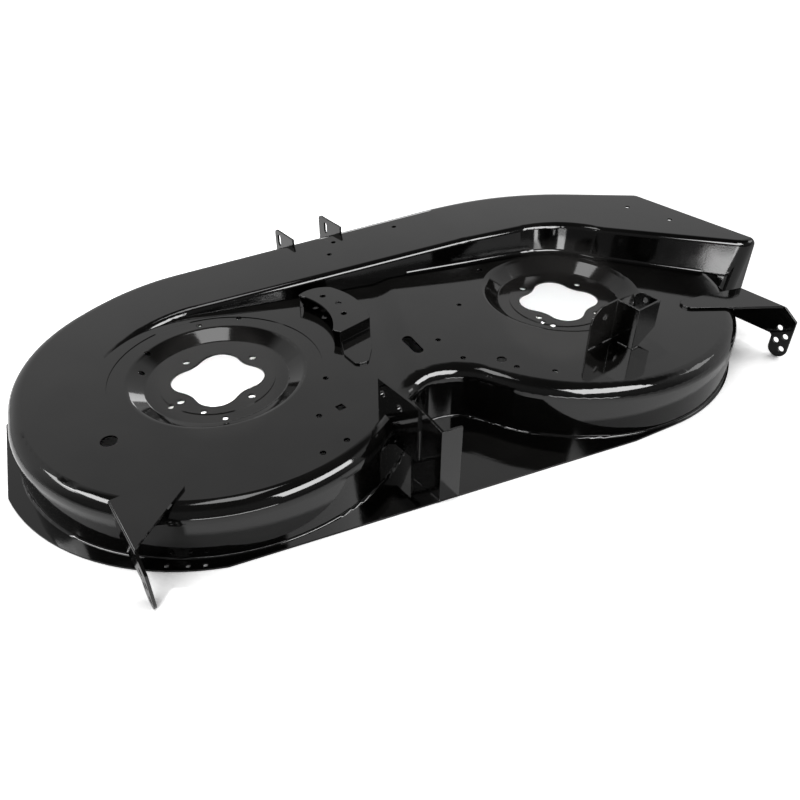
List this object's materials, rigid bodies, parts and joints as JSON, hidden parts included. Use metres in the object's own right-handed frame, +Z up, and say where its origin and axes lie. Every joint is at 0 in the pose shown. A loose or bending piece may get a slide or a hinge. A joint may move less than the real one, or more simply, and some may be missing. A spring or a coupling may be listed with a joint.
{
  "type": "lawn mower deck",
  "caption": "Bare pressed steel side-discharge mower deck with recessed lobed spindle openings, a rising discharge tunnel and welded brackets, in gloss black",
  "frame": {"origin": "on the axis of the left spindle opening, level with the top of its bolt seat", "axes": "+Y is the direction of travel, +X is to the right (the discharge side), +Z is up"},
  "size_m": [1.1037, 0.7259, 0.144],
  "materials": {
    "paint": "gloss"
  },
  "bodies": {
    "root": {"deck_shell": "paint", "left_gauge_bracket": "paint", "right_gauge_bracket": "paint", "idler_bridge": "paint", "rear_strut": "paint", "rear_hanger": "paint", "hanger_channel": "paint", "left_front_tab": "paint", "right_front_tab": "paint"}
  },
  "joints": []
}
